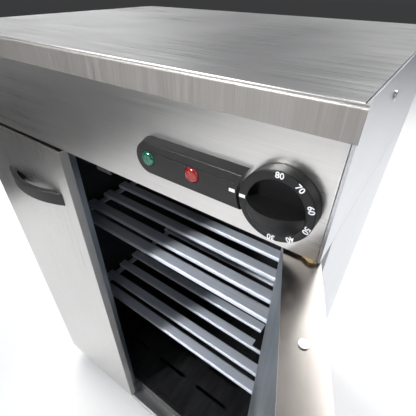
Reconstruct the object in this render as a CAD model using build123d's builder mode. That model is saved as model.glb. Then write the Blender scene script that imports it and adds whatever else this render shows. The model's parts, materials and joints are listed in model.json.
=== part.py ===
from build123d import *
import os
from math import cos, radians, sin

os.makedirs("parts", exist_ok=True)

# Heated food-holding cabinet. Millimetres, X to the right, Y to the back, Z up.
# The origin is on the floor, under the middle of the cabinet's body.

# Overall body
width = 600
depth = 450
height = 900
side_x = width / 2
front_y = -depth / 2
back_y = depth / 2

# Sheet metal
sheet = 1.5
skin = 1.2

# Heights of the body's levels
foot_height = 36
sill_top = 60
liner_base_z = 50
cavity_low = 93
cavity_high = 765.5
fascia_low = 773
fascia_high = 876

# Worktop and fascia
flange_proud = 3
flange_overlap = 1.2
fold_radius = 3.5
fascia_half = side_x - 3
hem = 2.5
return_depth = 30
side_gap = 0.6
screw_y = -112
screw_z = 878

# Cavity liner
liner_half = 260
liner_front_y = -198
liner_back_y = 203.5
jamb_y = -192

# Doors, measured along each door from its hinge axis
door_low = sill_top + 3
door_high = fascia_low - 3
door_height = door_high - door_low
door_thickness = 31
door_proud = 5
hinge_margin = 14
hinge_x = 281.5
pan_depth = 13
rebate = 15
left_door_width = 249
right_door_width = 339
open_angle = 112.8
pin_radius = 4
pin_clearance = 0.05
arm_radius = 7
arm_tip_radius = 4.4
arm_tip_x = 293
arm_tip_y = -224
arm_sheet = 2.4
door_front_y = front_y - door_proud
hinge_y = door_front_y + door_thickness / 2
front_d = door_front_y - hinge_y
back_d = front_d + door_thickness

# Handles
handle_length = 152
handle_low = 673
handle_high = 695
handle_reach = 18
handle_gap = 11.5
handle_foot = 22
handle_inset = 24.5

# Controls
knob_x = 260
control_z = fascia_low + 44.5
knob_radius = 31.2
knob_front = 12
grip_radius = 24.5
grip_front = 26
spindle_radius = 3
bezel_left = 109.5
bezel_half = 19
bezel_reach = 10
bezel_clearance = 3.5
lamp_radius = 7.9
green_x = 128
red_x = 180

# Slatted shelves
shelf_tops = {"upper": 523, "lower": 273}
slat_width = 24
slat_rise = 8
slat_corner = 3.5
slat_sheet = 1.2
slat_half_length = 257
first_slat_y = -115
second_slat_y = -79
slat_pitch = 49
slat_count = 7
shelf_strip = 4
shelf_drop = 11

sides = {"left": -1, "right": 1}


def save(piece, name):
    piece.label = name
    export_step(piece, f"parts/{name}.step")


def block(x_range, y_range, z_range, mode=Mode.ADD):
    # A box between two limits on each axis, in the active builder.
    centre = [(low + high) / 2 for low, high in (x_range, y_range, z_range)]
    spans = [high - low for low, high in (x_range, y_range, z_range)]
    with Locations(tuple(centre)):
        Box(*spans, mode=mode)


def both(sign, inner, outer):
    # The X limits of something on the left (-1) or right (+1) of the cabinet.
    return tuple(sorted((sign * inner, sign * outer)))


# ---- Worktop: a folded tray between the upper side panels, its front flange across them ----
tray_half = side_x - sheet - side_gap
with BuildPart() as worktop:
    with BuildSketch(Plane.YZ) as worktop_profile:
        with BuildLine():
            Polyline(
                (front_y - flange_proud, fascia_high),
                (front_y - flange_proud, height),
                (back_y, height),
                (back_y, fascia_high),
                close=True,
            )
        make_face()
        fillet(worktop_profile.vertices().group_by(Axis.Y)[-1].sort_by(Axis.X)[0], fold_radius)
        with BuildLine():
            Polyline(
                (front_y - flange_proud + sheet, fascia_high),
                (front_y - flange_proud + sheet, height - fold_radius),
                (front_y - flange_proud + fold_radius, height - sheet),
                (back_y - sheet, height - sheet),
                (back_y - sheet, fascia_high),
                close=True,
            )
        make_face(mode=Mode.SUBTRACT)
    extrude(amount=side_x + flange_overlap, both=True)
    for sign in sides.values():
        block(both(sign, tray_half, side_x + 2), (front_y - 0.5, back_y + 1),
              (fascia_high - 1, height + 1), Mode.SUBTRACT)
        block(both(sign, tray_half - sheet, tray_half), (-195, 220), (866, height - sheet))
    with BuildSketch(Plane.YZ):
        with Locations((screw_y, screw_z)):
            Circle(2.1)
    extrude(amount=side_x, both=True, mode=Mode.SUBTRACT)
save(worktop.part, "worktop")

# ---- Fascia: a shallow tray, open at the back ----
control_plane = Plane(origin=(0, front_y, control_z), x_dir=(1, 0, 0), z_dir=(0, -1, 0))
with BuildPart() as fascia_panel:
    block((-fascia_half, fascia_half), (front_y, front_y + return_depth), (fascia_low, fascia_high))
    block((-fascia_half + skin, fascia_half - skin), (front_y + skin, front_y + return_depth + 1),
          (fascia_low + skin, fascia_high - skin), Mode.SUBTRACT)
    with BuildSketch(control_plane):
        with Locations((knob_x, 0)):
            Circle(5)
        with Locations((green_x, 0), (red_x, 0)):
            Circle(6)
    extrude(amount=-5, mode=Mode.SUBTRACT)
    with BuildSketch(Plane.XY.offset(fascia_low)):
        with Locations((-hinge_x, hinge_y), (hinge_x, hinge_y)):
            Circle(pin_radius + pin_clearance)
    extrude(amount=skin, mode=Mode.SUBTRACT)
save(fascia_panel.part, "fascia_panel")

# ---- Outer sides: the upper panel runs to the front, the lower one stops short of the door ----
panel_back_y = back_y - 3
for side, sign in sides.items():
    with BuildPart() as upper_side:
        block(both(sign, side_x - sheet, side_x), (front_y, panel_back_y), (fascia_low, height))
        block(both(sign, side_x - hem, side_x), (front_y, front_y + 12), (fascia_low, fascia_high))
        with BuildSketch(Plane.YZ):
            with Locations((screw_y, screw_z)):
                Circle(2.1)
        extrude(amount=side_x + 1, both=True, mode=Mode.SUBTRACT)
    save(upper_side.part, f"upper_side_panel_{side}")

    with BuildPart() as lower_side:
        block(both(sign, side_x - sheet, side_x), (jamb_y, panel_back_y),
              (foot_height, fascia_low - side_gap))
        block(both(sign, liner_half + sheet, side_x), (jamb_y, jamb_y + sheet),
              (foot_height, fascia_low - side_gap))
    save(lower_side.part, f"lower_side_panel_{side}")

    with BuildPart() as worktop_screw:
        with BuildSketch(Plane(origin=(sign * side_x, screw_y, screw_z), z_dir=(sign, 0, 0))):
            Circle(4.2)
        extrude(amount=2.2)
        crown = worktop_screw.faces().sort_by(Axis.X)[-1 if sign > 0 else 0]
        fillet(crown.edges(), 1.6)
        with BuildSketch(Plane(origin=(sign * side_x, screw_y, screw_z), z_dir=(-sign, 0, 0))):
            Circle(2)
        extrude(amount=9)
    save(worktop_screw.part, f"worktop_screw_{side}")

# ---- Plinth, base, back, header and sill ----
with BuildPart() as plinth:
    block((-fascia_half, fascia_half), (front_y, jamb_y), (foot_height, sill_top))
    block((-fascia_half + sheet, fascia_half - sheet), (front_y + sheet, jamb_y + 1),
          (foot_height - 1, sill_top - sheet), Mode.SUBTRACT)
    with BuildSketch(Plane.XY.offset(sill_top - sheet)):
        with Locations((-hinge_x, hinge_y), (hinge_x, hinge_y)):
            Circle(pin_radius + pin_clearance)
    extrude(amount=sheet, mode=Mode.SUBTRACT)
save(plinth.part, "plinth")

with BuildPart() as base_panel:
    block((-fascia_half + sheet, fascia_half - sheet), (front_y + sheet, jamb_y),
          (foot_height, foot_height + sheet))
    block((-side_x + sheet, side_x - sheet), (jamb_y + sheet, panel_back_y),
          (foot_height, foot_height + sheet))
    block((-liner_half, liner_half), (jamb_y, jamb_y + sheet), (foot_height, foot_height + sheet))
save(base_panel.part, "base_panel")

gland_x = 200
gland_z = 815
with BuildPart() as back_panel:
    block((-side_x, side_x), (panel_back_y, panel_back_y + 1.4), (foot_height, height - 2))
    with BuildSketch(Plane.XZ.offset(-panel_back_y - 2)):
        with Locations((gland_x, gland_z)):
            Circle(10)
        with Locations((-60, 840)):
            with GridLocations(90, 12, 3, 3):
                SlotOverall(70, 5)
    extrude(amount=4, both=True, mode=Mode.SUBTRACT)
save(back_panel.part, "back_panel")

with BuildPart() as header_rail:
    block((-liner_half - sheet, liner_half + sheet), (liner_front_y, front_y + return_depth + 6),
          (cavity_high + sheet, fascia_low))
save(header_rail.part, "header_rail")

with BuildPart() as front_sill:
    block((-liner_half, liner_half), (liner_front_y, liner_front_y + sheet), (sill_top, cavity_low))
    block((-liner_half, liner_half), (liner_front_y, -185), (cavity_low - sheet, cavity_low))
save(front_sill.part, "front_sill")

# ---- Cavity liner ----
for side, sign in sides.items():
    with BuildPart() as liner_side:
        block(both(sign, liner_half, liner_half + sheet), (liner_front_y, liner_back_y + sheet),
              (liner_base_z + sheet, cavity_high))
        block(both(sign, liner_half - 1, liner_half + 3), (liner_front_y - 1, jamb_y),
              (liner_base_z, sill_top), Mode.SUBTRACT)
    save(liner_side.part, f"liner_side_{side}")

element_z = 68
element_radius = 4
with BuildPart() as liner_back:
    block((-liner_half, liner_half), (liner_back_y, liner_back_y + sheet),
          (liner_base_z + sheet, cavity_high))
save(liner_back.part, "liner_back")

with BuildPart() as liner_ceiling:
    block((-liner_half - sheet, liner_half + sheet), (liner_front_y, liner_back_y + sheet),
          (cavity_high, cavity_high + sheet))
save(liner_ceiling.part, "liner_ceiling")

with BuildPart() as liner_base:
    block((-liner_half - sheet, liner_half + sheet), (jamb_y + sheet, liner_back_y + sheet),
          (liner_base_z, liner_base_z + sheet))
    for x in (-200, 200):
        block((x - 8, x + 8), (-6, 6), (liner_base_z, element_z - element_radius))
save(liner_base.part, "liner_base")

# ---- Floor cover over the heating element, lifted on two folded legs ----
cover_half = liner_half - 0.6
with BuildPart() as floor_cover:
    block((-cover_half, cover_half), (-184.5, 203), (cavity_low - sheet, cavity_low))
    for sign in sides.values():
        block(both(sign, cover_half - sheet, cover_half), (-184.5, 203),
              (liner_base_z + sheet, cavity_low - sheet))
    with BuildSketch(Plane.XY.offset(cavity_low)):
        with GridLocations(130, 60, 3, 5):
            SlotOverall(90, 9)
    extrude(amount=-2 * sheet, mode=Mode.SUBTRACT)
save(floor_cover.part, "floor_cover")

# ---- Heating element: one bent tube on the ribs of the liner base ----
with BuildPart() as heating_element:
    with BuildLine(Plane.XY.offset(element_z)) as element_path:
        FilletPolyline(
            (-30, liner_back_y),
            (-30, 150),
            (-200, 150),
            (-200, -140),
            (200, -140),
            (200, 150),
            (30, 150),
            (30, liner_back_y),
            radius=24,
        )
    with BuildSketch(Plane(origin=(-30, liner_back_y, element_z), z_dir=(0, -1, 0))):
        Circle(element_radius)
    sweep()
save(heating_element.part, "heating_element")

# ---- Insulation between liner and outer panels ----
for side, sign in sides.items():
    with BuildPart() as insulation_side:
        block(both(sign, liner_half + sheet, side_x - sheet), (jamb_y + sheet, panel_back_y),
              (liner_base_z, cavity_high))
    save(insulation_side.part, f"insulation_{side}")

with BuildPart() as insulation_back:
    block((-liner_half, liner_half), (liner_back_y + sheet, panel_back_y), (liner_base_z, cavity_high))
save(insulation_back.part, "insulation_back")

with BuildPart() as insulation_top:
    block((-liner_half, liner_half), (-188, panel_back_y), (cavity_high + sheet, 785))
save(insulation_top.part, "insulation_top")

# ---- Shelf racks: two angle rails joined by three upright strips on each side wall ----
for side, sign in sides.items():
    with BuildPart() as shelf_rack:
        for top in shelf_tops.values():
            rail_z = top - shelf_drop
            block(both(sign, 236, liner_half), (-170, 195), (rail_z - sheet, rail_z))
            block(both(sign, liner_half - 2, liner_half), (-170, 195), (rail_z - 20, rail_z))
        for y in (-150, 10, 175):
            block(both(sign, liner_half - 2, liner_half), (y - 9, y + 9), (150, 700))
    save(shelf_rack.part, f"shelf_rack_{side}")

# ---- Slatted shelves: flat channel slats across two flat bearers ----
slat_centres = [first_slat_y] + [second_slat_y + slat_pitch * step for step in range(slat_count - 1)]
for level, top in shelf_tops.items():
    with BuildPart() as shelf:
        for inset, how in ((0, Mode.ADD), (slat_sheet, Mode.SUBTRACT)):
            with BuildSketch(Plane.YZ) as slat_section:
                for y in slat_centres:
                    with Locations((y, top - (slat_rise + inset) / 2)):
                        Rectangle(slat_width - 2 * inset, slat_rise - inset)
                fillet(slat_section.vertices().group_by(Axis.Y)[-1], slat_corner - inset)
            extrude(amount=slat_half_length, both=True, mode=how)
        for sign in sides.values():
            block(both(sign, 236, 250), (first_slat_y - slat_width / 2, 180),
                  (top - shelf_drop, top - shelf_drop + shelf_strip))
    save(shelf.part, f"{level}_shelf")

# ---- Levelling feet ----
for end, y in (("front", -165), ("back", 185)):
    for side, sign in sides.items():
        with BuildPart() as foot:
            with BuildSketch():
                with Locations((sign * 250, y)):
                    Circle(21)
            extrude(amount=9)
            fillet(foot.edges().group_by(Axis.Z)[-1], 2)
            with BuildSketch(Plane.XY.offset(8)):
                with Locations((sign * 250, y)):
                    Circle(12)
            extrude(amount=foot_height - 8)
        save(foot.part, f"foot_{end}_{side}")

# ---- Brass hinge pins, each with a flat arm in the gap between door and body ----
pin_engagement = 25


def hinge_arm(sign, level, thickness):
    # A flat arm from the pin to the cabinet's front corner.
    with BuildPart() as arm:
        with BuildSketch(Plane.XY.offset(level)):
            with Locations((sign * hinge_x, hinge_y)):
                Circle(arm_radius)
            with Locations((sign * arm_tip_x, arm_tip_y)):
                Circle(arm_tip_radius)
            make_hull()
        extrude(amount=thickness)
    return arm.part


for side, sign in sides.items():
    with BuildPart() as top_pin:
        with BuildSketch(Plane.XY.offset(door_high - pin_engagement)):
            with Locations((sign * hinge_x, hinge_y)):
                Circle(pin_radius)
        extrude(amount=pin_engagement + 3 + skin + 3)
        add(hinge_arm(sign, fascia_low, -arm_sheet))
        with BuildSketch(Plane.XY.offset(fascia_low + skin)):
            with Locations((sign * hinge_x, hinge_y)):
                Circle(8)
        extrude(amount=4)
    save(top_pin.part, f"hinge_pin_top_{side}")

    with BuildPart() as bottom_pin:
        with BuildSketch(Plane.XY.offset(door_low + pin_engagement)):
            with Locations((sign * hinge_x, hinge_y)):
                Circle(pin_radius)
        extrude(amount=-(pin_engagement + 3 + sheet + 3))
        add(hinge_arm(sign, sill_top, arm_sheet))
        with BuildSketch(Plane.XY.offset(sill_top - sheet)):
            with Locations((sign * hinge_x, hinge_y)):
                Circle(8)
        extrude(amount=-4)
    save(bottom_pin.part, f"hinge_pin_bottom_{side}")


# ---- Doors: built along their own plane, whose origin is on the hinge axis ----
def make_door(side, door_width, plane, inward):
    # Along the plane's X is the distance from the axis, and inward * Y is the depth into the door.
    hinge_end = -hinge_margin
    free_end = door_width - hinge_margin
    step_x = free_end - rebate
    step_d = front_d + pan_depth

    def across(near, far):
        return tuple(sorted((inward * near, inward * far)))

    with BuildPart(plane) as outer_pan:
        block((hinge_end, free_end), across(front_d, back_d), (0, door_height))
        block((hinge_end + skin, free_end - skin), across(front_d + skin, back_d + 1),
              (skin, door_height - skin), Mode.SUBTRACT)
        block((step_x, free_end + 1), across(step_d, back_d + 1), (-1, door_height + 1), Mode.SUBTRACT)
        with Locations((0, 0, 0)):
            Cylinder(pin_radius + 1, 2 * door_height + 10, mode=Mode.SUBTRACT)
        with Locations((88, 0, door_height)):
            Cylinder(2.1, 4 * skin, mode=Mode.SUBTRACT)
    save(outer_pan.part, f"{side}_door_outer_pan")

    with BuildPart(plane) as inner_pan:
        block((hinge_end + skin, step_x), across(back_d - skin, back_d), (skin, door_height - skin))
        block((step_x - skin, step_x), across(step_d - skin, back_d), (skin, door_height - skin))
        block((step_x - skin, free_end - skin), across(step_d - skin, step_d), (skin, door_height - skin))
    save(inner_pan.part, f"{side}_door_inner_pan")

    with BuildPart(plane) as core:
        block((hinge_margin, step_x - skin), across(front_d + skin, back_d - skin), (skin, door_height - 12))
    save(core.part, f"{side}_door_insulation")

    with BuildPart(plane) as post:
        block((hinge_end + skin, hinge_margin - 1), across(front_d + skin, back_d - skin),
              (skin, door_height - skin))
        with Locations((0, 0, door_height / 2)):
            Cylinder(pin_radius + pin_clearance, door_height + 10, mode=Mode.SUBTRACT)
    save(post.part, f"{side}_door_hinge_post")

    handle_plane = Plane(origin=plane.from_local_coords((0, 0, handle_low - door_low)),
                         x_dir=plane.x_dir, z_dir=plane.z_dir)
    handle_end = free_end - handle_inset
    handle_start = handle_end - handle_length
    handle_mid = (handle_start + handle_end) / 2
    front = inward * front_d
    with BuildPart() as handle:
        with BuildSketch(handle_plane):
            with BuildLine():
                bow = ThreePointArc((handle_start, front), (handle_mid, front - inward * handle_reach),
                                    (handle_end, front))
                Line(bow @ 1, bow @ 0)
            make_face()
            with BuildLine():
                hollow = ThreePointArc((handle_start + handle_foot, front),
                                       (handle_mid, front - inward * handle_gap),
                                       (handle_end - handle_foot, front))
                Line(hollow @ 1, hollow @ 0)
            make_face(mode=Mode.SUBTRACT)
        extrude(amount=handle_high - handle_low)
    save(handle.part, f"{side}_door_handle")

    with BuildPart(plane) as strike:
        block((step_x - 40, step_x - 10), across(back_d, back_d + skin), (677, 701))
    save(strike.part, f"{side}_strike_plate")

    with BuildPart(plane) as top_screw:
        with Locations((88, 0, door_height + 0.6)):
            Cylinder(3.6, 1.2)
        with Locations((88, 0, door_height - 4)):
            Cylinder(2, 8)
    save(top_screw.part, f"{side}_door_top_screw")


closed_left = Plane(origin=(-hinge_x, hinge_y, door_low), x_dir=(1, 0, 0), z_dir=(0, 0, 1))
open_direction = (-cos(radians(open_angle)), -sin(radians(open_angle)), 0)
opened_right = Plane(origin=(hinge_x, hinge_y, door_low), x_dir=open_direction, z_dir=(0, 0, 1))
make_door("left", left_door_width, closed_left, 1)
make_door("right", right_door_width, opened_right, -1)

# ---- Magnetic catches under the liner ceiling, one behind each strike plate ----
left_strike_x = -hinge_x + left_door_width - hinge_margin - rebate - 25
right_strike_x = hinge_x - (right_door_width - hinge_margin - rebate - 25)
for side, x in (("left", left_strike_x), ("right", right_strike_x)):
    with BuildPart() as catch:
        block((x - 15, x + 15), (liner_front_y + 0.6, liner_front_y + 20), (cavity_high - 25, cavity_high))
        fillet(catch.edges().filter_by(Axis.Z), 2)
    save(catch.part, f"{side}_door_catch")

# ---- Bezel with its two indicator lenses ----
knob_plane = Plane(origin=(knob_x, front_y, control_z), x_dir=(1, 0, 0), z_dir=(0, -1, 0))
with BuildPart() as bezel:
    left_centre = bezel_left + bezel_half
    with BuildSketch(control_plane):
        with Locations(((left_centre + knob_x) / 2, 0)):
            SlotCenterToCenter(knob_x - left_centre, 2 * bezel_half)
    extrude(amount=bezel_reach, taper=16)
    fillet(bezel.faces().sort_by(Axis.Y)[0].edges(), 1.2)
    with BuildSketch(knob_plane):
        Circle(knob_radius + bezel_clearance)
    extrude(amount=bezel_reach + 5, both=True, mode=Mode.SUBTRACT)
    with BuildSketch(control_plane):
        with Locations((green_x, 0), (red_x, 0)):
            Circle(lamp_radius + 0.1)
    extrude(amount=bezel_reach + 5, mode=Mode.SUBTRACT)
save(bezel.part, "bezel")

for colour, x in (("green", green_x), ("red", red_x)):
    with BuildPart() as lamp:
        with BuildSketch(control_plane):
            with Locations((x, 0)):
                Circle(lamp_radius)
        extrude(amount=12)
        fillet(lamp.edges().group_by(Axis.Y)[0], 3.6)
        with BuildSketch(control_plane):
            with Locations((x, 0)):
                Circle(5.9)
        extrude(amount=-22)
    save(lamp.part, f"{colour}_lamp")

# ---- Control knob: numbered skirt, domed lower half and a scooped upper half ----
knob_axis = Axis((knob_x, front_y, control_z), (0, -1, 0))
profile_plane = Plane(origin=(knob_x, front_y, control_z), x_dir=(1, 0, 0), z_dir=(0, 0, -1))
section_plane = Plane(origin=(knob_x, front_y, control_z), x_dir=(0, -1, 0), z_dir=(-1, 0, 0))
with BuildPart() as scoop:
    with BuildSketch(knob_plane.offset(2)):
        Circle(grip_radius - 0.8)
    extrude(amount=grip_front)
    with BuildSketch(section_plane):
        with BuildLine():
            Polyline((2, 1), (knob_front, grip_radius), (40, grip_radius), (40, 1), close=True)
        make_face()
    extrude(amount=grip_radius + 5, both=True, mode=Mode.INTERSECT)

with BuildPart() as control_knob:
    with BuildSketch(knob_plane.offset(1)):
        Circle(knob_radius)
    extrude(amount=knob_front - 1)
    fillet(control_knob.edges().group_by(Axis.Y)[0], 1.4)
    with BuildSketch(profile_plane):
        with BuildLine():
            wall = Polyline((0, knob_front - 2), (grip_radius, knob_front - 2), (grip_radius, knob_front + 1.2))
            Spline(wall @ 1, (22.4, 15.7), (17.3, 20.2), (9.4, 24.4), (0, grip_front))
            Line((0, grip_front), wall @ 0)
        make_face()
    revolve(axis=knob_axis)
    add(scoop.part, mode=Mode.SUBTRACT)
    block((knob_x - knob_radius, knob_x + knob_radius), (front_y - 40, front_y - knob_front),
          (control_z + 1, control_z + knob_radius), Mode.SUBTRACT)
    with BuildSketch(knob_plane.offset(1)):
        Circle(spindle_radius + pin_clearance)
        with Locations((0, 5 + pin_clearance)):
            Rectangle(10, 10, mode=Mode.SUBTRACT)
    extrude(amount=17.5, mode=Mode.SUBTRACT)
save(control_knob.part, "control_knob")

with BuildPart() as spindle:
    with BuildSketch(knob_plane.offset(0.8)):
        Circle(spindle_radius)
    extrude(amount=-16.8)
    with BuildSketch(knob_plane.offset(0.8)):
        Circle(spindle_radius)
        with Locations((0, 5)):
            Rectangle(10, 10, mode=Mode.SUBTRACT)
    extrude(amount=17)
save(spindle.part, "thermostat_spindle")

# ---- Thermostat behind the fascia ----
body_front = front_y + skin
with BuildPart() as thermostat:
    block((knob_x - 22, knob_x + 22), (body_front, body_front + 2), (control_z - 16, control_z + 16))
    block((knob_x - 18, knob_x + 18), (body_front + 2, body_front + 26), (control_z - 18, control_z + 18))
    with BuildSketch(knob_plane):
        Circle(spindle_radius + pin_clearance)
    extrude(amount=-17, mode=Mode.SUBTRACT)
save(thermostat.part, "thermostat_body")

# ---- Cable gland through the back panel ----
gland_plane = Plane(origin=(gland_x, panel_back_y, gland_z), x_dir=(1, 0, 0), z_dir=(0, 1, 0))
with BuildPart() as cable_gland:
    with BuildSketch(gland_plane):
        Circle(9.9)
    extrude(amount=1.4)
    with BuildSketch(gland_plane):
        RegularPolygon(14, 6)
    extrude(amount=-6)
    with BuildSketch(gland_plane.offset(1.4)):
        RegularPolygon(14, 6)
    extrude(amount=6)
    with BuildSketch(gland_plane.offset(7.4)):
        Circle(11)
    extrude(amount=10)
    fillet(cable_gland.edges().group_by(Axis.Y)[-1], 3)
    with BuildSketch(gland_plane.offset(-10)):
        Circle(4)
    extrude(amount=40, mode=Mode.SUBTRACT)
save(cable_gland.part, "cable_gland")
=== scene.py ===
import json
import math

import bpy
from mathutils import Matrix, Vector


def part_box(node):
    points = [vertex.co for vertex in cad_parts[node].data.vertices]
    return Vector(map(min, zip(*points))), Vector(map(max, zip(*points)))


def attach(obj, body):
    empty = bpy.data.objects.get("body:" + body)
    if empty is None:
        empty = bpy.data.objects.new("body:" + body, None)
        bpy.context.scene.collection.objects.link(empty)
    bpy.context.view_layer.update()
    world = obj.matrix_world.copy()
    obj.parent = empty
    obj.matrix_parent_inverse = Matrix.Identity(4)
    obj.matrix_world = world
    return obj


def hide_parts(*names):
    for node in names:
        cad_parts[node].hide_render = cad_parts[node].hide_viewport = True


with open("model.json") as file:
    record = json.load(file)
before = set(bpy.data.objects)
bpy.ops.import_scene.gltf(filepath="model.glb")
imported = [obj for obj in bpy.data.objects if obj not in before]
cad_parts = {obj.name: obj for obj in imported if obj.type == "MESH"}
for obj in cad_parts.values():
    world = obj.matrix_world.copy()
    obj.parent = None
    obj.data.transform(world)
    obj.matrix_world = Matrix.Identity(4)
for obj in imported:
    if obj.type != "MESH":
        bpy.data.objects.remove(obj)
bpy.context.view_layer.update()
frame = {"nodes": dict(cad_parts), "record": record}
nodes = frame["nodes"]
bodyOf = {node: body for body, names in frame["record"]["behaviour"]["bodies"].items() for node in names}
fasciaLow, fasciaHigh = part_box("fascia_panel")
fasciaFront = fasciaLow[1]


# helpers that every piece uses
def deselectAll():
    bpy.ops.object.select_all(action="DESELECT")


def pick(piece):
    deselectAll()
    piece.select_set(True)
    bpy.context.view_layer.objects.active = piece


def settle(piece, name):
    # the place goes into the mesh, the object back to the origin
    pick(piece)
    bpy.ops.object.transform_apply(location=True, rotation=True, scale=True)
    piece.name = name
    piece.data.name = name


def applyAll(piece):
    pick(piece)
    for modifier in list(piece.modifiers):
        bpy.ops.object.modifier_apply(modifier=modifier.name)


def paint(piece, material):
    piece.data.materials.clear()
    piece.data.materials.append(material)


def dress(piece, material, body):
    paint(piece, material)
    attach(piece, body)


def centreOf(node):
    low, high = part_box(node)
    return (Vector(low) + Vector(high)) / 2


# building blocks of the materials
def newMaterial(name):
    material = bpy.data.materials.new(name)
    material.use_nodes = True
    tree = material.node_tree
    tree.nodes.clear()
    output = tree.nodes.new("ShaderNodeOutputMaterial")
    shader = tree.nodes.new("ShaderNodeBsdfPrincipled")
    tree.links.new(shader.outputs["BSDF"], output.inputs["Surface"])
    return material, tree, shader


def place(tree, scale):
    # object coordinates, stretched by a Mapping node
    coords = tree.nodes.new("ShaderNodeTexCoord")
    mapping = tree.nodes.new("ShaderNodeMapping")
    mapping.inputs["Scale"].default_value = scale
    tree.links.new(coords.outputs["Object"], mapping.inputs["Vector"])
    return mapping.outputs["Vector"]


def noise(tree, scale, detail, roughness):
    texture = tree.nodes.new("ShaderNodeTexNoise")
    texture.inputs["Scale"].default_value = 1.0  # the Mapping node sets the size
    texture.inputs["Detail"].default_value = detail
    texture.inputs["Roughness"].default_value = roughness
    tree.links.new(place(tree, scale), texture.inputs["Vector"])
    return texture.outputs["Fac"]


def span(tree, value, low, high, fromLow=0.3, fromHigh=0.7):
    # the part fromLow..fromHigh of a pattern, stretched to low..high
    mapped = tree.nodes.new("ShaderNodeMapRange")
    mapped.inputs["From Min"].default_value = fromLow
    mapped.inputs["From Max"].default_value = fromHigh
    mapped.inputs["To Min"].default_value = low
    mapped.inputs["To Max"].default_value = high
    tree.links.new(value, mapped.inputs["Value"])
    return mapped.outputs["Result"]


mixSockets = {"factor": 0, "first": 6, "second": 7, "result": 2}  # of a Mix node that mixes colours


def blendColour(tree, factor, first, second):
    mixer = tree.nodes.new("ShaderNodeMix")
    mixer.data_type = "RGBA"
    mixer.inputs[mixSockets["first"]].default_value = (*first, 1)
    mixer.inputs[mixSockets["second"]].default_value = (*second, 1)
    tree.links.new(factor, mixer.inputs[mixSockets["factor"]])
    return mixer.outputs[mixSockets["result"]]


def combine(tree, first, second, how="MULTIPLY"):
    maths = tree.nodes.new("ShaderNodeMath")
    maths.operation = how
    tree.links.new(first, maths.inputs[0])
    tree.links.new(second, maths.inputs[1])
    return maths.outputs["Value"]


def bump(tree, shader, height, strength, distance):
    node = tree.nodes.new("ShaderNodeBump")
    node.inputs["Strength"].default_value = strength
    node.inputs["Distance"].default_value = distance
    tree.links.new(height, node.inputs["Height"])
    tree.links.new(node.outputs["Normal"], shader.inputs["Normal"])


# the brushing runs along the axis whose grain is small
steelLooks = {
    "fasciaSteel": dict(bright=(0.74, 0.73, 0.72), dull=(0.68, 0.67, 0.66),
                        grain=(3, 40, 900), rough=(0.27, 0.33)),
    # painted shade: a darker copy of the worktop steel for the upright front flange, which is also
    # brushed upright
    "shadedFlangeSteel": dict(bright=(0.43, 0.415, 0.40), dull=(0.35, 0.335, 0.32),
                        grain=(700, 700, 6), rough=(0.44, 0.54)),
    "topSteel": dict(bright=(0.70, 0.70, 0.70), dull=(0.62, 0.62, 0.62),
                     grain=(5, 700, 40), rough=(0.26, 0.36)),
    "sideSteel": dict(bright=(0.66, 0.68, 0.71), dull=(0.58, 0.60, 0.635),
                      grain=(40, 7, 600), rough=(0.30, 0.40)),
    "doorSteel": dict(bright=(0.71, 0.70, 0.69), dull=(0.64, 0.63, 0.62),
                      grain=(800, 40, 4), rough=(0.26, 0.34)),
    "doorEdgeSteel": dict(bright=(0.62, 0.60, 0.58), dull=(0.52, 0.505, 0.49),
                          grain=(9, 9, 9), rough=(0.42, 0.52), metal=0.45),
    # painted shade: a darker copy of the door steel for the door's top faces
    "shadedDoorTopSteel": dict(bright=(0.34, 0.315, 0.295), dull=(0.28, 0.26, 0.24),
                         grain=(9, 9, 9), rough=(0.20, 0.26)),
    # painted shade: the liner steel is coloured near black for the shade inside the cabinet
    "shadedLinerSteel": dict(bright=(0.07, 0.07, 0.072), dull=(0.045, 0.045, 0.047),
                       grain=(30, 6, 300), rough=(0.42, 0.58)),
    "innerDoorSteel": dict(bright=(0.42, 0.46, 0.50), dull=(0.33, 0.37, 0.41),
                           grain=(30, 30, 5), rough=(0.34, 0.46)),
    "shelfSteel": dict(bright=(0.58, 0.62, 0.70), dull=(0.50, 0.54, 0.61),
                       grain=(4, 300, 300), rough=(0.45, 0.55), metal=0.35),
    "backSteel": dict(bright=(0.55, 0.56, 0.57), dull=(0.50, 0.51, 0.52),
                      grain=(300, 300, 4), rough=(0.42, 0.50)),
    "zincPlate": dict(bright=(0.62, 0.62, 0.63), dull=(0.42, 0.42, 0.44),
                      grain=(200, 200, 200), rough=(0.25, 0.40)),
    "elementSteel": dict(bright=(0.16, 0.14, 0.13), dull=(0.07, 0.06, 0.06),
                         grain=(60, 60, 60), rough=(0.45, 0.65)),
    "brass": dict(bright=(0.66, 0.50, 0.30), dull=(0.42, 0.30, 0.16),
                  grain=(300, 300, 300), rough=(0.18, 0.32)),
}
brushing = {
    "fine": 2.3,  # how much finer the second grain is
    "contrast": (0.75, 1.25),
    "smudgeScale": (5, 5, 5),
    "smudge": (0.93, 1.1),  # the smudges' part in the roughness
    "bumpStrength": 0.04,
    "bumpDepth": 0.0004,
}


def makeSteel(name, look):
    material, tree, shader = newMaterial(name)
    grain = noise(tree, look["grain"], 4.0, 0.6)
    smudge = noise(tree, brushing["smudgeScale"], 3.0, 0.5)
    fine = noise(tree, tuple(value * brushing["fine"] for value in look["grain"]), 2.0, 0.5)
    mixed = combine(tree, grain, fine, "ADD")
    tone = span(tree, mixed, 0, 1, *brushing["contrast"])
    colour = blendColour(tree, tone, look["dull"], look["bright"])
    dulled = combine(tree, span(tree, grain, *look["rough"]), span(tree, smudge, *brushing["smudge"]))
    tree.links.new(colour, shader.inputs["Base Color"])
    tree.links.new(dulled, shader.inputs["Roughness"])
    shader.inputs["Metallic"].default_value = look.get("metal", 1.0)
    bump(tree, shader, mixed, brushing["bumpStrength"], brushing["bumpDepth"])
    return material


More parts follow.
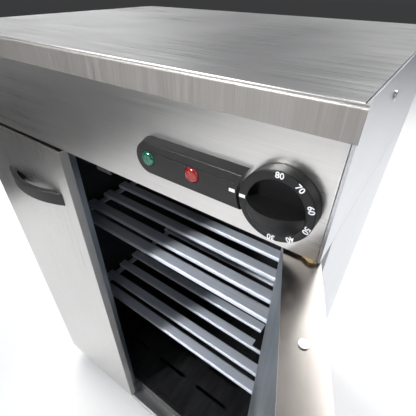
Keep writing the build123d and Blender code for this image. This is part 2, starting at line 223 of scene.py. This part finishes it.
plasticLooks = {
    "blackPlastic": dict(light=(0.016, 0.016, 0.017), dark=(0.009, 0.009, 0.0095),
                         rough=(0.34, 0.44), grain=2200, gloss=0.3),
    "bezelPlastic": dict(light=(0.018, 0.018, 0.019), dark=(0.011, 0.011, 0.0115),
                         rough=(0.30, 0.38), grain=2600, gloss=0.35),
    "greyPlastic": dict(light=(0.20, 0.20, 0.21), dark=(0.12, 0.12, 0.125),
                        rough=(0.45, 0.6), grain=1500),
    "footPlastic": dict(light=(0.035, 0.035, 0.035), dark=(0.015, 0.015, 0.015),
                        rough=(0.5, 0.7), grain=1200),
    "printWhite": dict(light=(0.86, 0.87, 0.90), dark=(0.74, 0.76, 0.80),
                       rough=(0.4, 0.55), grain=1500),
}
moulding = {
    "wearScale": (45, 45, 45),
    "contrast": (0.15, 0.38),
    "gloss": 0.5,  # where a look names none of its own
    "bumpStrength": 0.12,
    "bumpDepth": 0.0002,
}


def makePlastic(name, look):
    material, tree, shader = newMaterial(name)
    grain = noise(tree, (look["grain"],) * 3, 2.0, 0.5)
    wear = noise(tree, moulding["wearScale"], 4.0, 0.6)
    tone = span(tree, combine(tree, grain, wear), 0, 1, *moulding["contrast"])
    tree.links.new(blendColour(tree, tone, look["dark"], look["light"]), shader.inputs["Base Color"])
    tree.links.new(span(tree, wear, *look["rough"]), shader.inputs["Roughness"])
    shader.inputs["Specular IOR Level"].default_value = look.get("gloss", moulding["gloss"])
    bump(tree, shader, grain, moulding["bumpStrength"], moulding["bumpDepth"])
    return material


lensLooks = {
    "redLens": dict(clear=(0.55, 0.035, 0.03), deep=(0.22, 0.0, 0.0)),
    "greenLens": dict(clear=(0.01, 0.26, 0.15), deep=(0.0, 0.08, 0.045)),
}
facets = {
    "scale": (420, 420, 420),
    "contrast": (0.1, 0.8),
    "roughness": 0.12,
    "clearness": 0.35,
    "coat": 0.6,
    "bumpStrength": 0.15,
    "bumpDepth": 0.0006,
}


def makeLens(name, look):
    material, tree, shader = newMaterial(name)
    cells = tree.nodes.new("ShaderNodeTexVoronoi")
    cells.inputs["Scale"].default_value = 1.0  # the Mapping node sets the size
    tree.links.new(place(tree, facets["scale"]), cells.inputs["Vector"])
    tone = span(tree, cells.outputs["Distance"], 0, 1, *facets["contrast"])
    tree.links.new(blendColour(tree, tone, look["clear"], look["deep"]), shader.inputs["Base Color"])
    shader.inputs["Roughness"].default_value = facets["roughness"]
    shader.inputs["Transmission Weight"].default_value = facets["clearness"]
    shader.inputs["Coat Weight"].default_value = facets["coat"]
    bump(tree, shader, cells.outputs["Distance"], facets["bumpStrength"], facets["bumpDepth"])
    return material


wool = {
    "fibre": (120, 120, 500),
    "dark": (0.35, 0.30, 0.18),
    "light": (0.62, 0.56, 0.38),
    "roughness": 0.95,
    "bumpStrength": 0.5,
    "bumpDepth": 0.002,
}


def makeWool(name):
    material, tree, shader = newMaterial(name)
    fibre = noise(tree, wool["fibre"], 6.0, 0.7)
    colour = blendColour(tree, span(tree, fibre, 0, 1), wool["dark"], wool["light"])
    tree.links.new(colour, shader.inputs["Base Color"])
    shader.inputs["Roughness"].default_value = wool["roughness"]
    bump(tree, shader, fibre, wool["bumpStrength"], wool["bumpDepth"])
    return material


finishes = {name: makeSteel(name, look) for name, look in steelLooks.items()}
finishes.update({name: makePlastic(name, look) for name, look in plasticLooks.items()})
finishes.update({name: makeLens(name, look) for name, look in lensLooks.items()})
finishes["mineralWool"] = makeWool("mineralWool")
print("materials made:", len(finishes))

# which finish each CAD node has: by its name's ending, then its beginning, then the whole name
endingFinish = {
    "_shelf": "shelfSteel",
    "_outer_pan": "doorSteel",
    "_inner_pan": "innerDoorSteel",
    "_door_insulation": "mineralWool",
    "_hinge_post": "zincPlate",
    "_strike_plate": "zincPlate",
    "_top_screw": "zincPlate",
    "_handle": "blackPlastic",
    "_catch": "blackPlastic",
}
beginningFinish = {
    "upper_side": "sideSteel",
    "lower_side": "sideSteel",
    "liner_": "shadedLinerSteel",
    "insulation": "mineralWool",
    "shelf_rack": "shadedLinerSteel",
    "foot_": "footPlastic",
    "hinge_pin": "brass",
    "worktop_screw": "zincPlate",
}
nodeFinish = {
    "worktop": "topSteel",
    "fascia_panel": "fasciaSteel",
    "plinth": "fasciaSteel",
    "header_rail": "shadedLinerSteel",
    "front_sill": "shadedLinerSteel",
    "floor_cover": "shadedLinerSteel",
    "base_panel": "backSteel",
    "back_panel": "backSteel",
    "heating_element": "elementSteel",
    "bezel": "bezelPlastic",
    "control_knob": "blackPlastic",
    "thermostat_spindle": "zincPlate",
    "thermostat_body": "greyPlastic",
    "cable_gland": "footPlastic",
    "red_lamp": "redLens",
    "green_lamp": "greenLens",
}


def finishFor(node):
    for ending, finish in endingFinish.items():
        if node.endswith(ending):
            return finishes[finish]
    for beginning, finish in beginningFinish.items():
        if node.startswith(beginning):
            return finishes[finish]
    return finishes[nodeFinish[node]]


# how far the edges of each node are rounded, in metres
edgeWidths = {
    "worktop": 0.0004,
    "fascia_panel": 0.0005,
    "plinth": 0.0005,
    "bezel": 0.0003,
    "left_door_outer_pan": 0.0005,
    "right_door_outer_pan": 0.0005,
    "left_door_inner_pan": 0.0004,
    "right_door_inner_pan": 0.0004,
    "upper_side_panel_left": 0.0004,
    "upper_side_panel_right": 0.0004,
    "lower_side_panel_left": 0.0004,
    "lower_side_panel_right": 0.0004,
    "left_door_handle": 0.0018,
    "right_door_handle": 0.0018,
    "front_sill": 0.0005,
    "control_knob": 0.0004,
}
edgeWork = {
    "mergeDistance": 0.00001,
    "flatAngle": 0.5,  # degrees: triangles closer than this become one flat face
    "smoothAngle": 50,
    "bevelAngle": 35,  # sharper corners than this are rounded
    "bevelSegments": 2,
    "flatWeight": 100,  # keeps the large faces flat beside their rounded edges
}
facing = {"up": 0.6, "side": 0.6, "front": 0.5}  # how squarely a face points, from 0 to 1


def mergedCopy(name):
    # a copy of the CAD node, its loose triangles joined into whole flat faces
    node = nodes[name]
    piece = node.copy()
    piece.data = node.data.copy()
    piece.parent = None
    bpy.context.scene.collection.objects.link(piece)
    piece.matrix_world = Matrix.Identity(4)
    piece.name = name + ".soft"
    pick(piece)
    bpy.ops.object.mode_set(mode="EDIT")
    bpy.ops.mesh.select_all(action="SELECT")
    bpy.ops.mesh.remove_doubles(threshold=edgeWork["mergeDistance"])
    bpy.ops.mesh.dissolve_limited(angle_limit=math.radians(edgeWork["flatAngle"]))
    bpy.ops.object.mode_set(mode="OBJECT")
    return piece


def roundEdges(piece, width):
    bpy.ops.object.shade_smooth_by_angle(angle=math.radians(edgeWork["smoothAngle"]))
    bevel = piece.modifiers.new("edge", "BEVEL")
    bevel.width = width
    bevel.segments = edgeWork["bevelSegments"]
    bevel.limit_method = "ANGLE"
    bevel.angle_limit = math.radians(edgeWork["bevelAngle"])
    flat = piece.modifiers.new("flat", "WEIGHTED_NORMAL")
    flat.weight = edgeWork["flatWeight"]
    flat.keep_sharp = False
    applyAll(piece)


def paintFlange(piece):
    # the front flange is brushed upright, unlike the top, and its darker colour than the top is painted
    # shade
    piece.data.materials.append(finishes["shadedFlangeSteel"])
    flange = len(piece.data.materials) - 1
    for face in piece.data.polygons:
        if face.center.y < fasciaFront and face.normal.y < -facing["front"]:
            face.material_index = flange


def paintDoorEdges(piece):
    # the folded edges of a door are duller than its front, and its top faces get a darker copy of the
    # door steel as painted shade
    piece.data.materials.append(finishes["doorEdgeSteel"])
    piece.data.materials.append(finishes["shadedDoorTopSteel"])
    top = len(piece.data.materials) - 1
    edge = top - 1
    front = max(piece.data.polygons, key=lambda face: face.area).normal.copy()
    for face in piece.data.polygons:
        if abs(face.normal.z) > facing["up"]:
            face.material_index = top
        elif abs(face.normal.dot(front)) < facing["side"]:
            face.material_index = edge


def softenEdges(name, width):
    piece = mergedCopy(name)
    roundEdges(piece, width)
    paint(piece, finishFor(name))
    if name == "worktop":
        paintFlange(piece)
    if name.endswith("outer_pan"):
        paintDoorEdges(piece)
    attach(piece, bodyOf[name])
    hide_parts(name)


for name, node in nodes.items():
    paint(node, finishFor(name))
for name, width in edgeWidths.items():
    softenEdges(name, width)
print("CAD nodes dressed:", len(nodes))

# the numbers and dashes printed on the dial and the bezel
dial = {
    "numbers": ("80", "70", "60", "50", "40", "30"),
    "angles": (90.3, 55.4, 19.4, -18.2, -54.4, -88.3),  # degrees from the right, counter-clockwise
    "radius": 0.0278,
    "size": 0.0068,
    "stroke": 0.00012,  # thickens the strokes of the numbers
    "thickness": 0.0003,
    "face": 0.012,  # the ring stands this far in front of the fascia
    "bezelFace": 0.010,  # and the bezel this far
    "dash": (0.0056, 0.0030),
    "dashCorner": 0.0004,
    "dashRadius": 0.0280,
    "bezelDashRadius": 0.0388,
}
knobCentre = centreOf("control_knob")
dialCentre = Vector((knobCentre.x, fasciaFront, knobCentre.z))


def addMark(name, radius, reach, body):
    # a printed dash on the left of the dial: a thin slab with softened corners
    deselectAll()
    spot = (dialCentre.x - radius, fasciaFront - reach, dialCentre.z)
    bpy.ops.mesh.primitive_cube_add(size=1, location=spot)
    mark = bpy.context.object
    length, height = dial["dash"]
    mark.scale = (length, dial["thickness"], height)
    settle(mark, name)
    corners = mark.modifiers.new("corners", "BEVEL")
    corners.width = dial["dashCorner"]
    corners.segments = 3
    applyAll(mark)
    dress(mark, finishes["printWhite"], body)


def addNumber(text, degrees):
    deselectAll()
    bpy.ops.object.text_add(location=(0, 0, 0))
    number = bpy.context.object
    number.data.body = text
    number.data.size = dial["size"]
    number.data.align_x = "CENTER"
    number.data.align_y = "CENTER"
    number.data.extrude = dial["thickness"] / 2
    number.data.offset = dial["stroke"]
    pick(number)
    bpy.ops.object.convert(target="MESH")
    number = bpy.context.object
    angle = math.radians(degrees)
    spot = dialCentre + Vector((math.cos(angle), 0, math.sin(angle))) * dial["radius"]
    spot.y = fasciaFront - dial["face"]
    # the text stands up in XZ, facing the front, its top away from the dial's centre
    stand = Matrix.Rotation(math.pi / 2, 4, "X")
    lean = Matrix.Rotation(-(angle - math.pi / 2), 4, "Y")
    number.matrix_world = Matrix.Translation(spot) @ lean @ stand
    settle(number, f"dialNumber{text}")
    dress(number, finishes["printWhite"], "knob")


# the fine raised line along the bezel, above the lamps
bezelRib = {
    "left": 0.1195,
    "right": 0.2225,
    "height": 0.052,  # above the fascia's lower edge
    "reach": 0.0102,  # in front of the fascia
    "thickness": 0.0008,
    "roundness": 0.3,  # of the thickness
}


def addBezelRib(rib):
    deselectAll()
    middle = ((rib["left"] + rib["right"]) / 2, fasciaFront - rib["reach"], fasciaLow[2] + rib["height"])
    bpy.ops.mesh.primitive_cube_add(size=1, location=middle)
    piece = bpy.context.object
    piece.scale = (rib["right"] - rib["left"], rib["thickness"], rib["thickness"])
    settle(piece, "bezelRib")
    edge = piece.modifiers.new("edge", "BEVEL")
    edge.width = rib["thickness"] * rib["roundness"]
    edge.segments = 2
    applyAll(piece)
    dress(piece, finishes["bezelPlastic"], "cabinet")


addBezelRib(bezelRib)
for text, degrees in zip(dial["numbers"], dial["angles"]):
    addNumber(text, degrees)
addMark("dialDash", dial["dashRadius"], dial["face"], "knob")
addMark("bezelDash", dial["bezelDashRadius"], dial["bezelFace"], "cabinet")
print("dial marked")

# a pale floor under a plain studio
stageLook = {
    "floorSize": 12.0,
    "floorDark": (0.90, 0.90, 0.90),
    "floorLight": (0.93, 0.93, 0.93),
    "floorRoughness": 0.8,
    "world": (0.86, 0.87, 0.90),
    "worldLow": 0.05,  # brightness below and at the horizon, then overhead
    "worldHigh": 0.34,
    "worldSpan": (-0.05, 0.6),  # the heights between which it changes
}
# name: power, size, place, aim, spread in degrees
softboxes = {
    "keyLight": (3.8, 0.45, (-0.73, -2.21, 1.78), (0.05, -0.1, 0.5), 35),
    "floorLight": (7.5, 1.0, (0.4, -1.9, 2.6), (-0.05, -1.75, 0.0), 55),
    "backLight": (76, 2.0, (1.0, 1.6, 2.5), (0.7, 1.4, 0.0), 180),
    "leftLight": (19, 1.4, (-1.5, 0.6, 2.4), (-1.1, 0.1, 0.0), 110),
    "topLight": (1.3, 1.4, (-0.8, 0.35, 2.6), (0.2, -0.23, 0.83), 70),
    "fillLight": (1.0, 0.8, (1.4, -1.5, 1.3), (0.0, -0.23, 0.6), 60),
}
# seen only in reflections, so that the steel has something dark to mirror
darkCard = {
    "size": 3.2,
    "narrowing": 0.75,
    "place": (-2.75, -1.55, 0.02),
    "turn": 8,
    "shade": 0.04,
}


def addFloor():
    deselectAll()
    bpy.ops.mesh.primitive_plane_add(size=stageLook["floorSize"], location=(0, 0, 0))
    floor = bpy.context.object
    floor.name = "floor"
    material, tree, shader = newMaterial("paleFloor")
    cloud = noise(tree, (2, 2, 2), 2.0, 0.5)
    colour = blendColour(tree, cloud, stageLook["floorDark"], stageLook["floorLight"])
    tree.links.new(colour, shader.inputs["Base Color"])
    shader.inputs["Roughness"].default_value = stageLook["floorRoughness"]
    paint(floor, material)


def addSoftbox(name, power, size, at, target, spread):
    deselectAll()
    bpy.ops.object.light_add(type="AREA", location=at)
    lamp = bpy.context.object
    lamp.name = name
    lamp.data.energy = power
    lamp.data.shape = "SQUARE"
    lamp.data.size = size
    lamp.data.spread = math.radians(spread)
    aim = Vector(target) - Vector(at)
    lamp.rotation_euler = aim.to_track_quat("-Z", "Y").to_euler()


def addDarkCard(name):
    deselectAll()
    bpy.ops.mesh.primitive_plane_add(size=darkCard["size"], location=darkCard["place"])
    card = bpy.context.object
    card.name = name
    card.scale.y = darkCard["narrowing"]
    card.rotation_euler = (0, 0, math.radians(darkCard["turn"]))
    material, tree, shader = newMaterial(name + "Cloth")
    shader.inputs["Base Color"].default_value = (*[darkCard["shade"]] * 3, 1)
    shader.inputs["Roughness"].default_value = 1.0
    paint(card, material)
    for ray in ("visible_camera", "visible_diffuse", "visible_shadow", "visible_transmission"):
        setattr(card, ray, False)


def addWorld():
    world = bpy.data.worlds.new("studio")
    bpy.context.scene.world = world
    world.use_nodes = True
    tree = world.node_tree
    background = tree.nodes["Background"]
    background.inputs["Color"].default_value = (*stageLook["world"], 1)
    coords = tree.nodes.new("ShaderNodeTexCoord")
    parts = tree.nodes.new("ShaderNodeSeparateXYZ")
    tree.links.new(coords.outputs["Generated"], parts.inputs["Vector"])
    brightness = span(tree, parts.outputs["Z"], stageLook["worldLow"], stageLook["worldHigh"],
                      *stageLook["worldSpan"])
    tree.links.new(brightness, background.inputs["Strength"])


addFloor()
for name, settings in softboxes.items():
    addSoftbox(name, *settings)
addDarkCard("sideCard")
addWorld()
bpy.context.scene.view_settings.view_transform = "Standard"

# the camera stands close to the top right front corner of the cabinet
view = {
    "offset": (0.0312, -0.1943, 0.1827),  # from the fascia's lower right front corner
    "right": (0.81306, 0.58213, 0.00804),
    "up": (-0.35033, 0.47818, 0.80537),
    "forward": (-0.46498, 0.65762, -0.59273),
    "lens": 27.09,
    "sensor": 36,
    "nearest": 0.01,
}
corner = Vector((fasciaHigh[0], fasciaFront, fasciaLow[2]))
bpy.ops.object.camera_add(location=corner + Vector(view["offset"]))
camera = bpy.context.object
axes = Matrix([view["right"], view["up"], [-value for value in view["forward"]]]).transposed()
camera.rotation_euler = axes.to_euler()
camera.data.lens = view["lens"]
camera.data.sensor_width = view["sensor"]
camera.data.clip_start = view["nearest"]
bpy.context.scene.camera = camera
print("stage set")
